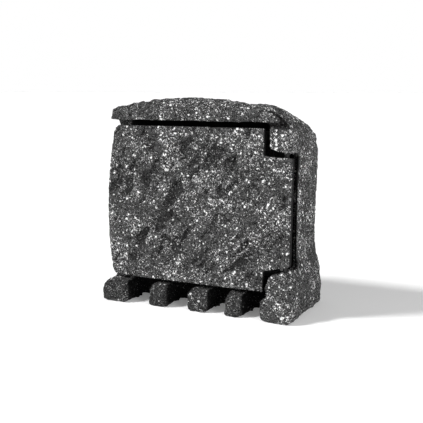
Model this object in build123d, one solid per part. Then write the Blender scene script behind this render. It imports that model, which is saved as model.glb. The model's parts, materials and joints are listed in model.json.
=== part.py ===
"""Garden power-socket box in imitation granite: a hollow rock shell with a hinged door over four sockets.

The front faces -Y, +X is to the right and +Z is up. The origin is the middle of the footprint on the ground.
All sizes are in millimetres.
"""
from build123d import *
import os

# Shell: overall size and walls
REAR_Y = 57.5
TUB_FRONT_Y = -30.0
REAR_CORNER_R = 36.0
BASE_CORNER_R = 23.0
BASE_CORNER_Z = (48.0, 84.0)
TUB_HALF_WIDTH = 116.0
TOP_Z = 230.0
CREST_Y = -18.0
FLOOR_UNDER_Z = 24.0
FLOOR_Z = 28.0
CEILING_Z = 206.5
JAMB_REAR_Y = -22.0
JAMB_INNER_X = -87.0
INNER_LEFT_X = -102.0
INNER_RIGHT_X = 99.5
WALL = 8.0
LEDGE_Y = 25.0
LEDGE_THICK = 4.0
BASE_WALL_Y = -19.0

# Brow and hinge blocks
BROW_FRONT_Y = -46.5
BROW_LEFT_X = -110.5
BLOCK_LEFT_X = 85.0
BLOCK_FRONT_Y = -41.0
SHOULDER_X = 108.5
SHOULDER_Y = -33.0
TOE_RADIUS = 22.0

# Foot ribs: left and right edge of each, and how far the nose comes forward
FOOT_SPANS = [(-116.0, -84.0), (-56.5, -33.5), (-6.5, 18.0), (38.0, 59.0), (80.5, 115.5)]
FOOT_NOSE_Y = -54.5
CORNER_FOOT_NOSE_Y = -57.5
FOOT_TOP_Z = 24.5
FOOT_SHOULDER = 8.0
TOE_SHOULDER = 3.0
CORNER_SHOULDER = 10.0
FOOT_TOP_R = 4.5
FOOT_BOTTOM_R = 3.0
DRAIN_Z = 4.0

# Door and its hinge
DOOR_FRONT_Y = -39.8
DOOR_SKIN = 4.8
TAB_EDGE_R = 2.0
DOOR_REAR_Y = -32.5
DOOR_RIM = 5.0
DOOR_TOP_Z = 200.3
DOOR_BOTTOM_Z = 27.7
DOOR_RIGHT_X = 77.7
HINGE_X = 101.0
HINGE_Y = -33.0
BARREL_R = 6.2
BARREL_BOTTOM_Z = 57.5
BARREL_TOP_Z = 169.5
PIN_R = 2.5
PIN_RUNNING_GAP = 0.06
PIN_IN_BLOCK = 20.0
PIN_IN_BARREL = 14.0
HINGE_POCKET_R = 12.6
BLOCK_LOWER_Z = 47.5
BLOCK_UPPER_Z = 178.3
UPPER_SLOPE = 0.2
LOWER_SLOPE = 0.32
BLOCK_CORNER = 3.0
WALL_FRONT_Y = -18.0

# Magnetic catch
CATCH_X = -95.5
CATCH_Z = 114.0
MAGNET_SIZE = (10.0, 6.0, 20.0)
KEEPER_SIZE = (13.0, 1.5, 34.0)
KEEPER_SCREW_R = 1.5
KEEPER_HEAD_R = 2.8
KEEPER_SCREW_OFFSET = 13.5

# Sockets: 39 mm recess, 17.5 mm deep, pins of 4.8 mm at 19 mm centres
PANEL_MID_X = -2.0
SOCKET_OFFSET_X = 42.0
SOCKET_ROWS_Z = (76.0, 150.0)
SOCKET_MID_Z = 113.0
FACE_Y = 18.0
FLANGE_THICK = 3.0
FLANGE_HALF = 25.0
PANEL_THICK = 3.0
PANEL_HALF_WIDTH = 84.0
PANEL_BOTTOM_Z = 30.0
PANEL_TOP_Z = 194.0
PANEL_LAP = 8.0
PANEL_CUTOUT_HALF = 23.5
SEAL_THICK = 1.0
RECESS_R = 19.5
RECESS_DEPTH = 17.5
RECESS_FLOOR = 2.5
CUP_R = 22.0
PIN_HOLE_R = 2.6
PIN_PITCH_HALF = 9.5
CONTACT_BLOCK_HALF_WIDTH = 15.0
CONTACT_BLOCK_HALF_HEIGHT = 9.0
CONTACT_BLOCK_DEPTH = 10.0
CONTACT_CELL = 8.0
CONTACT_SLEEVE_R = 3.4
CONTACT_BORE_R = 2.4
EARTH_CLIP_WIDTH = 7.0
EARTH_CLIP_THICK = 1.0
EARTH_CLIP_OFFSET = 17.4

# Splash lids
LID_AXIS_Y = 14.4
LID_AXIS_UP = 25.6
LID_BARREL_R = 3.2
LID_PIN_R = 1.5
LID_HALF_WIDTH = 22.5
LID_BOTTOM = 21.5
LID_THICK = 2.8
LID_SEAL_IN_R = 19.8
LID_SEAL_OUT_R = 21.3
LID_SEAL_THICK = 0.9
EAR_INNER_X = 20.2
EAR_OUTER_X = 23.6
SPRING_HALF_LENGTH = 5.0
SPRING_IN_R = 1.8
SPRING_OUT_R = 2.9

# Panel and rear cover
SCREW_R = 2.0
SCREW_HEAD_R = 3.8
SCREW_HEAD_THICK = 2.4
SCREW_LENGTH = 8.0
COVER_HALF_WIDTH = 74.0
COVER_BOTTOM_Z = 34.0
COVER_TOP_Z = 150.0
COVER_LAP = 8.0
COVER_OUT_Y = 56.5
COVER_THICK = 3.0
COVER_GAP = 0.4
CHAMBER_REAR_Y = 49.0

# Cable inlet: a gland in a well in the rear cover
GLAND_Z = 62.0
WELL_HALF = 17.0
WELL_WALL = 2.5
WELL_FRONT_Y = 34.0
GLAND_THREAD_R = 8.0
GLAND_BORE_R = 6.0
GLAND_HEX = 20.0
GLAND_INNER_Y = 26.5
GLAND_COLLAR_THICK = 4.0
GLAND_NECK_END_Y = 47.0
GLAND_NUT_END_Y = 53.0
GLAND_MOUTH_R = 4.8
CABLE_R = 4.2

# Terminal block and inner wires
TERMINAL_HALF_WIDTH = 17.0
TERMINAL_HALF_HEIGHT = 9.0
TERMINAL_FRONT_Y = 37.0
TERMINAL_REAR_Y = 50.0
TERMINAL_SCREW_R = 2.0
WIRE_R = 1.1
WIRE_LANE_X = 22.0
WIRE_BEND_R = 3.5
WIRE_LEVELS_Y = {"wires_live": 40.0, "wires_neutral": 43.5, "wires_earth": 47.0}
WIRE_START_UP = {"wires_live": 6.0, "wires_neutral": 0.0, "wires_earth": -6.0}


def block(x0, x1, y0, y1, z0, z1):
    """Box between two corners."""
    return Pos(x0, y0, z0) * Box(x1 - x0, y1 - y0, z1 - z0, align=(Align.MIN, Align.MIN, Align.MIN))


def centred_block(x, half_x, y0, y1, z, half_z):
    """Box centred on x and z, from y0 to y1."""
    return block(x - half_x, x + half_x, y0, y1, z - half_z, z + half_z)


def rod_x(radius, x0, x1, y, z):
    """Round bar along X."""
    bar = Cylinder(radius, x1 - x0, align=(Align.CENTER, Align.CENTER, Align.MIN))
    return Pos(x0, y, z) * Rot(Y=90) * bar


def rod_y(radius, x, y0, y1, z):
    """Round bar along Y."""
    bar = Cylinder(radius, y1 - y0, align=(Align.CENTER, Align.CENTER, Align.MIN))
    return Pos(x, y0, z) * Rot(X=-90) * bar


def rod_z(radius, x, y, z0, z1):
    """Round bar along Z."""
    return Pos(x, y, z0) * Cylinder(radius, z1 - z0, align=(Align.CENTER, Align.CENTER, Align.MIN))


def ring_y(outer_r, inner_r, x, y0, y1, z):
    """Round tube along Y."""
    return rod_y(outer_r, x, y0, y1, z) - rod_y(inner_r, x, y0, y1, z)


def hex_y(across_flats, x, y0, y1, z):
    """Hexagonal bar along Y."""
    hexagon = RegularPolygon(across_flats / 2, 6, major_radius=False)
    return Pos(x, y1, z) * (Rot(X=90) * extrude(hexagon, y1 - y0))


def outline(start, *steps):
    """Closed face: each step is the next corner, or a point on an arc together with the arc's end."""
    edges = []
    here = start
    for step in steps:
        is_arc = isinstance(step[0], tuple)
        end = step[1] if is_arc else step
        edges.append(ThreePointArc(here, step[0], end) if is_arc else Line(here, end))
        here = end
    if here != start:
        edges.append(Line(here, start))
    return make_face(edges)


def front_prism(face, y0, y1):
    """Extrude a face drawn in X and Z from y0 to y1."""
    return Pos(0, y1, 0) * (Rot(X=90) * extrude(face, y1 - y0))


def side_prism(face, x0, x1):
    """Extrude a face drawn in Y and Z from x0 to x1."""
    return extrude(Plane.YZ.offset(x0) * face, x1 - x0)


def plan_prism(face, z0, z1):
    """Extrude a face drawn in X and Y from z0 to z1."""
    return Pos(0, 0, z0) * extrude(face, z1 - z0)


def silhouette(crest_end, corner_mid, corner_end, wall_mid):
    """Front view of the rock: flared base, bulging left side and a roof whose right end is given."""
    return outline(
        (-112.0, 0.0),
        ((-116.0, 13.0), (-111.0, 34.0)),
        ((-114.5, 112.0), (-104.5, 200.0)),
        ((-104.0, 213.5), (-95.0, 221.5)),
        ((-28.0, TOP_Z + 1), crest_end),
        (corner_mid, corner_end),
        (wall_mid, (107.0, 62.0)),
        ((112.5, 50.0), (116.0, 33.0)),
        ((116.0, 14.0), (112.0, 0.0)),
    )


def front_silhouette():
    """Outline at the front, where the roof stays high as far as the hinge."""
    return silhouette((50.0, 223.5), (94.5, 211.0), (109.0, 183.0), (107.0, 120.0))


def rear_silhouette():
    """Outline at the back, where the roof's right shoulder has fallen away."""
    return silhouette((36.0, 222.0), (88.5, 203.0), (107.5, 161.0), (106.0, 110.0))


def brow_silhouette():
    """Outline of the roof's overhanging front, with a rounded tip beyond the left wall."""
    return outline(
        (-103.0, 180.0),
        (-103.0, CEILING_Z),
        ((-108.8, 207.6), (BROW_LEFT_X, 212.0)),
        ((-106.5, 218.5), (-95.0, 222.0)),
        ((-28.0, TOP_Z + 1), (50.0, 224.0)),
        ((94.5, 211.0), (109.0, 183.0)),
        (109.0, 180.0),
    )


def inner_silhouette():
    """The hollow as seen from the front: a wall's thickness inside the rock."""
    return outline(
        (INNER_LEFT_X, FLOOR_Z),
        (INNER_LEFT_X + 5, 198.0),
        ((-93.0, 208.0), (-82.0, 212.0)),
        ((-28.0, 220.5), (44.0, 214.0)),
        ((84.0, 195.0), (INNER_RIGHT_X, 156.0)),
        (INNER_RIGHT_X, FLOOR_Z),
    )


def tub_plan(corner_r):
    """Footprint behind the door: flat front, rounded rear corners."""
    x = TUB_HALF_WIDTH
    r = corner_r
    bend = r * (1 - 0.5 ** 0.5)
    return outline(
        (-x + 4, TUB_FRONT_Y),
        (x - 4, TUB_FRONT_Y),
        (x, TUB_FRONT_Y + 4),
        (x, REAR_Y - r),
        ((x - bend, REAR_Y - bend), (x - r, REAR_Y)),
        (-x + r, REAR_Y),
        ((-x + bend, REAR_Y - bend), (-x, REAR_Y - r)),
        (-x, TUB_FRONT_Y + 4),
    )


def tub_envelope():
    """Plan of the tub at every height: the base has tighter rear corners than the wall above it."""
    z0, z1 = BASE_CORNER_Z
    base = plan_prism(tub_plan(BASE_CORNER_R), 0, z0)
    blend = loft([Pos(0, 0, z0) * tub_plan(BASE_CORNER_R), Pos(0, 0, z1) * tub_plan(REAR_CORNER_R)])
    return base + blend + plan_prism(tub_plan(REAR_CORNER_R), z1, TOP_Z + 1)


def side_profile(inset):
    """Side view of the tub: straight back up to the shoulder, then falling back from the crest."""
    rear = REAR_Y - inset
    return outline(
        (TUB_FRONT_Y, 0.0),
        (rear, 0.0),
        (rear, 150.0),
        ((45.0 - inset * 0.95, 198.0 - inset * 0.35), (8.0 - inset * 0.3, 225.5 - inset)),
        (CREST_Y, TOP_Z + 1 - inset),
        (TUB_FRONT_Y, TOP_Z - 1.5 - inset),
    )


def rock_tub():
    """Solid rock behind the door."""
    at_crest = Plane.XZ.offset(-CREST_Y) * front_silhouette()
    at_rear = Plane.XZ.offset(-REAR_Y) * rear_silhouette()
    tub = loft([at_crest, at_rear]) + front_prism(front_silhouette(), TUB_FRONT_Y, CREST_Y)
    tub &= tub_envelope()
    tub &= side_prism(side_profile(0), -TUB_HALF_WIDTH, TUB_HALF_WIDTH)
    return tub


def brow():
    """Overhanging front of the roof."""
    y = BROW_FRONT_Y
    profile = outline(
        (CREST_Y, CEILING_Z),
        (y + 3, CEILING_Z),
        ((y, CEILING_Z + 7), (y + 1.5, 218.0)),
        ((y + 12, 227.0), (CREST_Y, TOP_Z + 1)),
    )
    end_r = 10.0
    bend = end_r * (1 - 0.5 ** 0.5)
    plan = outline(
        (BROW_LEFT_X + 6, CREST_Y),
        (BROW_LEFT_X, y + end_r),
        ((BROW_LEFT_X + bend, y + bend), (BROW_LEFT_X + end_r, y)),
        (80.0, y),
        ((100.0, y + 3), (SHOULDER_X + 0.5, SHOULDER_Y)),
        (SHOULDER_X + 3, CREST_Y),
    )
    roof = side_prism(profile, BROW_LEFT_X, SHOULDER_X + 3)
    roof &= plan_prism(plan, CEILING_Z, TOP_Z + 2)
    roof &= front_prism(brow_silhouette(), y, CREST_Y)
    return roof


def hinge_block_plan():
    """Both hinge blocks seen from above: the front turns over the shoulder into the side wall."""
    return outline(
        (BLOCK_LEFT_X, JAMB_REAR_Y),
        (BLOCK_LEFT_X, BLOCK_FRONT_Y + 2),
        (BLOCK_LEFT_X + 2, BLOCK_FRONT_Y),
        (95.0, BLOCK_FRONT_Y),
        (101.5, BLOCK_FRONT_Y + 1.3),
        (SHOULDER_X, SHOULDER_Y),
        (TUB_HALF_WIDTH, -24.0),
        (TUB_HALF_WIDTH, JAMB_REAR_Y),
    )


def toe_plan():
    """The toe in front of the lower hinge block, kept inside the arc that the door's notch sweeps."""
    r = TOE_RADIUS
    return outline(
        (BLOCK_LEFT_X, JAMB_REAR_Y),
        (BLOCK_LEFT_X, HINGE_Y - (r ** 2 - (HINGE_X - BLOCK_LEFT_X) ** 2) ** 0.5),
        ((HINGE_X - r * 0.4, HINGE_Y - r * 0.84 ** 0.5), (HINGE_X, HINGE_Y - r)),
        ((110.0, -51.0), (115.0, -40.0)),
        (TUB_HALF_WIDTH, JAMB_REAR_Y),
    )


def hinge_blocks():
    """Upper and lower hinge block, with faces that slope towards the right, and the lower one's toe."""
    left = BLOCK_LEFT_X
    right = TUB_HALF_WIDTH
    run = right - left - BLOCK_CORNER
    upper = outline(
        (left, CEILING_Z + 5),
        (left, BLOCK_UPPER_Z + BLOCK_CORNER),
        ((left + 1, BLOCK_UPPER_Z + 1), (left + BLOCK_CORNER, BLOCK_UPPER_Z)),
        (right, BLOCK_UPPER_Z - run * UPPER_SLOPE),
        (right, CEILING_Z + 5),
    )
    lower = outline(
        (left, 10.0),
        (left, BLOCK_LOWER_Z - BLOCK_CORNER),
        ((left + 1, BLOCK_LOWER_Z - 1), (left + BLOCK_CORNER, BLOCK_LOWER_Z)),
        (right, BLOCK_LOWER_Z + run * LOWER_SLOPE),
        (right, 10.0),
    )
    toe_side = outline(
        (JAMB_REAR_Y, 5.0),
        (-55.0, 5.0),
        (-54.0, 22.0),
        ((-48.0, 36.0), (-40.0, BLOCK_LOWER_Z - 1)),
        (JAMB_REAR_Y, BLOCK_LOWER_Z - 1),
    )
    blocks = front_prism(upper, BLOCK_FRONT_Y, JAMB_REAR_Y) + front_prism(lower, BLOCK_FRONT_Y, JAMB_REAR_Y)
    blocks &= plan_prism(hinge_block_plan(), 0, TOP_Z)
    blocks += side_prism(toe_side, left, right) & plan_prism(toe_plan(), 0, BLOCK_LOWER_Z)
    return blocks & front_prism(front_silhouette(), CORNER_FOOT_NOSE_Y, 0)


def foot(x0, x1, nose_y, shoulder):
    """One foot rib: rounded nose and edges, running back to the base wall."""
    side = outline(
        (BASE_WALL_Y, 0.0),
        (nose_y + 3, 0.0),
        ((nose_y, 9.0), (nose_y + shoulder, FOOT_TOP_Z - 3)),
        (nose_y + shoulder + 4, FOOT_TOP_Z),
        (BASE_WALL_Y, FOOT_TOP_Z),
    )
    r = 6.0
    bend = r * (1 - 0.5 ** 0.5)
    plan = outline(
        (x0, BASE_WALL_Y),
        (x0, nose_y + r),
        ((x0 + bend, nose_y + bend), (x0 + r, nose_y)),
        (x1 - r, nose_y),
        ((x1 - bend, nose_y + bend), (x1, nose_y + r)),
        (x1, BASE_WALL_Y),
    )
    top_r = FOOT_TOP_R
    top_bend = top_r * (1 - 0.5 ** 0.5)
    front = outline(
        (x0 + FOOT_BOTTOM_R, 0.0),
        (x0, FOOT_BOTTOM_R),
        (x0, FOOT_TOP_Z - top_r),
        ((x0 + top_bend, FOOT_TOP_Z - top_bend), (x0 + top_r, FOOT_TOP_Z)),
        (x1 - top_r, FOOT_TOP_Z),
        ((x1 - top_bend, FOOT_TOP_Z - top_bend), (x1, FOOT_TOP_Z - top_r)),
        (x1, FOOT_BOTTOM_R),
        (x1 - FOOT_BOTTOM_R, 0.0),
    )
    rib = side_prism(side, x0, x1) & plan_prism(plan, 0, FOOT_TOP_Z)
    return rib & front_prism(front, nose_y, BASE_WALL_Y)


def feet():
    """All five foot ribs; the two at the corners come forward the most."""
    ribs = foot(*FOOT_SPANS[-1], CORNER_FOOT_NOSE_Y, TOE_SHOULDER)
    ribs += foot(*FOOT_SPANS[0], CORNER_FOOT_NOSE_Y, CORNER_SHOULDER)
    for x0, x1 in FOOT_SPANS[1:-1]:
        ribs += foot(x0, x1, FOOT_NOSE_Y, FOOT_SHOULDER)
    return ribs


def drains():
    """Low slots under the base wall, one between each pair of feet."""
    slots = Part()
    for (_, x0), (x1, _) in zip(FOOT_SPANS, FOOT_SPANS[1:]):
        slots += block(x0, x1, JAMB_REAR_Y - 1, BASE_WALL_Y + 1, -1, DRAIN_Z)
    return slots


def shell_hollows():
    """Everything that is open inside and under the shell."""
    front = TUB_FRONT_Y - 1
    far = TUB_HALF_WIDTH
    room = front_prism(inner_silhouette(), JAMB_REAR_Y, REAR_Y) & side_prism(side_profile(WALL), -far, far)
    room &= plan_prism(tub_plan_inner(), 0, TOP_Z)
    compartment = room & block(-far, far, JAMB_REAR_Y, LEDGE_Y, 0, TOP_Z)
    chamber = room & block(-far, far, LEDGE_Y + LEDGE_THICK, REAR_Y, FLOOR_Z + 4, TOP_Z)
    window = block(*panel_window_x(), LEDGE_Y - 1, REAR_Y - 20, *panel_window_z())
    door_way = block(JAMB_INNER_X, BLOCK_LEFT_X, front, JAMB_REAR_Y + 1, FLOOR_Z, CEILING_Z)
    cable_way = block(FOOT_SPANS[0][1], FOOT_SPANS[-1][0], front, JAMB_REAR_Y, -1, FLOOR_Z)
    half = COVER_HALF_WIDTH
    cover_floor_y = COVER_OUT_Y - COVER_THICK - SEAL_THICK
    rear_window = block(-half + COVER_LAP, half - COVER_LAP, REAR_Y - 20, REAR_Y + 1, *cover_window_z())
    rabbet = block(-half, half, cover_floor_y, REAR_Y + 1, COVER_BOTTOM_Z, COVER_TOP_Z)
    under = block(-far, far, BASE_WALL_Y, REAR_Y, -1, FLOOR_UNDER_Z) & plan_prism(tub_plan_inner(), -2, TOP_Z)
    hollows = door_way + cable_way + drains()
    for space in (compartment, window, chamber, rear_window, rabbet, under):
        hollows += space
    return hollows


def panel_window_x():
    """Left and right edge of the opening behind the socket panel."""
    half = PANEL_HALF_WIDTH - PANEL_LAP
    return PANEL_MID_X - half, PANEL_MID_X + half


def panel_window_z():
    """Lower and upper edge of the opening behind the socket panel."""
    return PANEL_BOTTOM_Z + PANEL_LAP, PANEL_TOP_Z - PANEL_LAP


def cover_window_z():
    """Lower and upper edge of the opening under the rear cover."""
    return COVER_BOTTOM_Z + COVER_LAP, COVER_TOP_Z - COVER_LAP


def tub_plan_inner():
    """Footprint inside the walls, with the rear corners rounded like the outside."""
    x = TUB_HALF_WIDTH - WALL
    r = REAR_CORNER_R - WALL
    rear = REAR_Y - WALL
    bend = r * (1 - 0.5 ** 0.5)
    return outline(
        (-x, TUB_FRONT_Y),
        (x, TUB_FRONT_Y),
        (x, rear - r),
        ((x - bend, rear - bend), (x - r, rear)),
        (-x + r, rear),
        ((-x + bend, rear - bend), (-x, rear - r)),
    )


def hinge_pocket():
    """Room for the door's tab and barrel between the two hinge blocks."""
    left = BLOCK_LEFT_X
    right = TUB_HALF_WIDTH + 8
    run = right - left - BLOCK_CORNER
    gap = outline(
        (left - 8, BLOCK_LOWER_Z - BLOCK_CORNER),
        (left, BLOCK_LOWER_Z - BLOCK_CORNER),
        ((left + 1, BLOCK_LOWER_Z - 1), (left + BLOCK_CORNER, BLOCK_LOWER_Z)),
        (right, BLOCK_LOWER_Z + run * LOWER_SLOPE),
        (right, BLOCK_UPPER_Z - run * UPPER_SLOPE),
        (left + BLOCK_CORNER, BLOCK_UPPER_Z),
        ((left + 1, BLOCK_UPPER_Z + 1), (left, BLOCK_UPPER_Z + BLOCK_CORNER)),
        (left - 8, BLOCK_UPPER_Z + BLOCK_CORNER),
    )
    inner_y = WALL_FRONT_Y + WALL
    wedge = outline(
        (left - 8, WALL_FRONT_Y),
        (TUB_HALF_WIDTH - WALL - 1, WALL_FRONT_Y),
        (INNER_RIGHT_X, inner_y),
        (left - 8, inner_y),
    )
    pocket = front_prism(gap, BLOCK_FRONT_Y - 5, WALL_FRONT_Y)
    pocket += front_prism(gap, WALL_FRONT_Y, inner_y) & plan_prism(wedge, 0, TOP_Z)
    swing_bottom = BLOCK_LOWER_Z + 7
    return pocket + rod_z(HINGE_POCKET_R, HINGE_X, HINGE_Y, swing_bottom, BLOCK_UPPER_Z - 7)


def panel_screw_places():
    """X and Z of the screws round the socket panel."""
    side = PANEL_HALF_WIDTH - PANEL_LAP / 2
    rows = (PANEL_BOTTOM_Z + PANEL_LAP, SOCKET_MID_Z, PANEL_TOP_Z - PANEL_LAP)
    return [(x, z) for x in (PANEL_MID_X - side, PANEL_MID_X + side) for z in rows]


def cover_screw_places():
    """X and Z of the screws round the rear cover."""
    side = COVER_HALF_WIDTH - COVER_LAP / 2 - 0.5
    rows = (COVER_BOTTOM_Z + COVER_LAP, (COVER_BOTTOM_Z + COVER_TOP_Z) / 2, COVER_TOP_Z - COVER_LAP)
    return [(x, z) for x in (-side, side) for z in rows]


def housing_shell():
    """The whole granite shell with its pin bores, screw holes and magnet pocket."""
    shell = rock_tub() + brow() + hinge_blocks()
    shell -= shell_hollows()
    shell += feet()
    shell -= hinge_pocket()
    shell -= hinge_pin_upper()
    shell -= hinge_pin_lower()
    shell -= catch_magnet()
    shell -= socket_panel_screws()
    shell -= rear_cover_screws()
    notch = centred_block(PANEL_MID_X, 12, REAR_Y - 10, REAR_Y + 1, 0, 14)
    return shell - notch


def hinge_pin_upper():
    """Door pin pressed into the upper hinge block."""
    top = BLOCK_UPPER_Z - 2 + PIN_IN_BLOCK
    return rod_z(PIN_R, HINGE_X, HINGE_Y, BARREL_TOP_Z - PIN_IN_BARREL, top)


def hinge_pin_lower():
    """Door pin pressed into the lower hinge block."""
    bottom = BLOCK_LOWER_Z + 4 - PIN_IN_BLOCK
    return rod_z(PIN_R, HINGE_X, HINGE_Y, bottom, BARREL_BOTTOM_Z + PIN_IN_BARREL)


def door_outline():
    """Front view of the door: bulging free edge, tab between the hinge blocks."""
    return outline(
        (-97.0, DOOR_TOP_Z),
        (DOOR_RIGHT_X, DOOR_TOP_Z),
        (DOOR_RIGHT_X, 171.3),
        (109.8, 170.2),
        (107.6, 57.0),
        (DOOR_RIGHT_X, 50.2),
        (DOOR_RIGHT_X, DOOR_BOTTOM_Z),
        (-101.0, DOOR_BOTTOM_Z),
        ((-108.6, 30.5), (-112.0, 38.0)),
        ((-116.0, 114.0), (-106.4, 191.5)),
        ((-103.6, 198.0), (-97.0, DOOR_TOP_Z)),
    )


def door_shell():
    """Granite door: skin with a rim round its back, hinge barrel and a pad for the keeper."""
    face = door_outline()
    rim_depth = DOOR_REAR_Y - DOOR_FRONT_Y
    door = front_prism(face, DOOR_FRONT_Y, DOOR_REAR_Y)
    front_edges = door.edges().filter_by(lambda e: abs(e.center().Y - DOOR_FRONT_Y) < 0.01)
    tab_edge = front_edges.filter_by(lambda e: e.center().X > 105)
    door = fillet(tab_edge, TAB_EDGE_R)
    pocket = front_prism(offset(face, -DOOR_RIM), DOOR_REAR_Y - rim_depth + DOOR_SKIN, DOOR_REAR_Y + 1)
    door -= pocket
    door += rod_z(BARREL_R, HINGE_X, HINGE_Y, BARREL_BOTTOM_Z, BARREL_TOP_Z) & block(
        0, 120, DOOR_FRONT_Y, 0, 0, TOP_Z
    )
    pad_y0 = DOOR_FRONT_Y + DOOR_SKIN - 0.5
    pad_half_x = KEEPER_SIZE[0] / 2 + 1
    pad_half_z = KEEPER_SIZE[2] / 2 + 1
    door += centred_block(CATCH_X, pad_half_x, pad_y0, DOOR_REAR_Y, CATCH_Z, pad_half_z)
    bore_r = PIN_R + PIN_RUNNING_GAP
    bore_depth = PIN_IN_BARREL + 1
    door -= rod_z(bore_r, HINGE_X, HINGE_Y, BARREL_BOTTOM_Z - 5, BARREL_BOTTOM_Z + bore_depth)
    door -= rod_z(bore_r, HINGE_X, HINGE_Y, BARREL_TOP_Z - bore_depth, BARREL_TOP_Z + 5)
    return door - keeper_screws()


def keeper_screws():
    """Two countersunk screws that hold the keeper."""
    outer_y = DOOR_REAR_Y + KEEPER_SIZE[1]
    screws = Part()
    for z in (CATCH_Z - KEEPER_SCREW_OFFSET, CATCH_Z + KEEPER_SCREW_OFFSET):
        screws += rod_y(KEEPER_SCREW_R, CATCH_X, DOOR_REAR_Y - 3, outer_y, z)
        screws += rod_y(KEEPER_HEAD_R, CATCH_X, outer_y - 0.8, outer_y, z)
    return screws


def door_keeper():
    """Steel plate on the back of the door that the magnet holds."""
    outer_y = DOOR_REAR_Y + KEEPER_SIZE[1]
    plate = centred_block(CATCH_X, KEEPER_SIZE[0] / 2, DOOR_REAR_Y, outer_y, CATCH_Z, KEEPER_SIZE[2] / 2)
    return plate - keeper_screws()


def catch_magnet():
    """Magnet let into the left jamb."""
    return centred_block(
        CATCH_X, MAGNET_SIZE[0] / 2, TUB_FRONT_Y, TUB_FRONT_Y + MAGNET_SIZE[1], CATCH_Z, MAGNET_SIZE[2] / 2
    )


def screw_y(x, z, head_y, direction):
    """Pan-head screw along Y: its head sits outside head_y, and its shank points in the given direction."""
    head_end = head_y - direction * SCREW_HEAD_THICK
    tip = head_y + direction * SCREW_LENGTH
    head = rod_y(SCREW_HEAD_R, x, min(head_y, head_end), max(head_y, head_end), z)
    slot_y0, slot_y1 = sorted((head_end, head_end + direction))
    slot = centred_block(x, SCREW_HEAD_R, slot_y0, slot_y1, z, 0.5)
    return (head - slot) + rod_y(SCREW_R, x, min(head_y, tip), max(head_y, tip), z)


def socket_panel_screws():
    """Six screws that hold the socket panel on its ledge."""
    screws = Part()
    for x, z in panel_screw_places():
        screws += screw_y(x, z, LEDGE_Y - SEAL_THICK - PANEL_THICK, 1)
    return screws


def rear_cover_screws():
    """Six screws that hold the rear cover."""
    screws = Part()
    for x, z in cover_screw_places():
        head_y = COVER_OUT_Y - SCREW_HEAD_THICK + 0.6
        screws += screw_y(x, z, head_y, -1)
    return screws


def socket_centres():
    """X and Z of the four sockets."""
    return [(PANEL_MID_X + side * SOCKET_OFFSET_X, z) for z in SOCKET_ROWS_Z for side in (-1, 1)]


def socket_panel():
    """Plate that carries the four sockets."""
    y0 = LEDGE_Y - SEAL_THICK - PANEL_THICK
    half = PANEL_HALF_WIDTH
    panel = block(PANEL_MID_X - half, PANEL_MID_X + half, y0, y0 + PANEL_THICK, PANEL_BOTTOM_Z, PANEL_TOP_Z)
    for x, z in socket_centres():
        panel -= centred_block(x, PANEL_CUTOUT_HALF, y0 - 1, LEDGE_Y, z, PANEL_CUTOUT_HALF)
    return panel - socket_panel_screws()


def socket_panel_seal():
    """Flat gasket between the panel and the ledge."""
    y0 = LEDGE_Y - SEAL_THICK
    half = PANEL_HALF_WIDTH
    gasket = block(PANEL_MID_X - half, PANEL_MID_X + half, y0, LEDGE_Y, PANEL_BOTTOM_Z, PANEL_TOP_Z)
    gasket -= block(*panel_window_x(), y0 - 1, LEDGE_Y + 1, *panel_window_z())
    return gasket - socket_panel_screws()


def lid_ears(x, z):
    """Two ears on top of a socket's flange that hold the lid pin."""
    up = z + LID_AXIS_UP
    ears = Part()
    for side in (-1, 1):
        x0, x1 = sorted((x + side * EAR_INNER_X, x + side * EAR_OUTER_X))
        web = block(x0, x1, LID_AXIS_Y, FACE_Y + FLANGE_THICK, up - LID_BARREL_R, up + LID_BARREL_R)
        ears += web + rod_x(LID_BARREL_R, x0, x1, LID_AXIS_Y, up)
    return ears


def socket_body(x, z):
    """Socket: flange with lid ears, recess cup and contact block behind it."""
    cup_floor_y = FACE_Y + RECESS_DEPTH
    cup_end_y = cup_floor_y + RECESS_FLOOR
    block_end_y = cup_end_y + CONTACT_BLOCK_DEPTH
    flange_y1 = FACE_Y + FLANGE_THICK
    body = centred_block(x, FLANGE_HALF, FACE_Y, flange_y1, z, FLANGE_HALF)
    body += rod_y(CUP_R, x, flange_y1, cup_end_y, z)
    body += centred_block(x, CONTACT_BLOCK_HALF_WIDTH, cup_end_y, block_end_y, z, CONTACT_BLOCK_HALF_HEIGHT)
    body += lid_ears(x, z)
    body -= rod_y(RECESS_R, x, FACE_Y - 1, cup_floor_y, z)
    for side in (-1, 1):
        pin_x = x + side * PIN_PITCH_HALF
        body -= rod_y(PIN_HOLE_R, pin_x, cup_floor_y - 1, cup_end_y + 1, z)
        body -= centred_block(pin_x, CONTACT_CELL / 2, cup_end_y, block_end_y + 1, z, CONTACT_CELL / 2)
    body -= rod_x(LID_PIN_R, x - EAR_OUTER_X, x + EAR_OUTER_X, LID_AXIS_Y, z + LID_AXIS_UP)
    return body


def contact_clips(x, z):
    """Live and neutral contact sleeves of one socket."""
    y0 = FACE_Y + RECESS_DEPTH + RECESS_FLOOR
    clips = Part()
    for side in (-1, 1):
        pin_x = x + side * PIN_PITCH_HALF
        clips += ring_y(CONTACT_SLEEVE_R, CONTACT_BORE_R, pin_x, y0, y0 + CONTACT_BLOCK_DEPTH - 1.5, z)
    return clips


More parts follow.
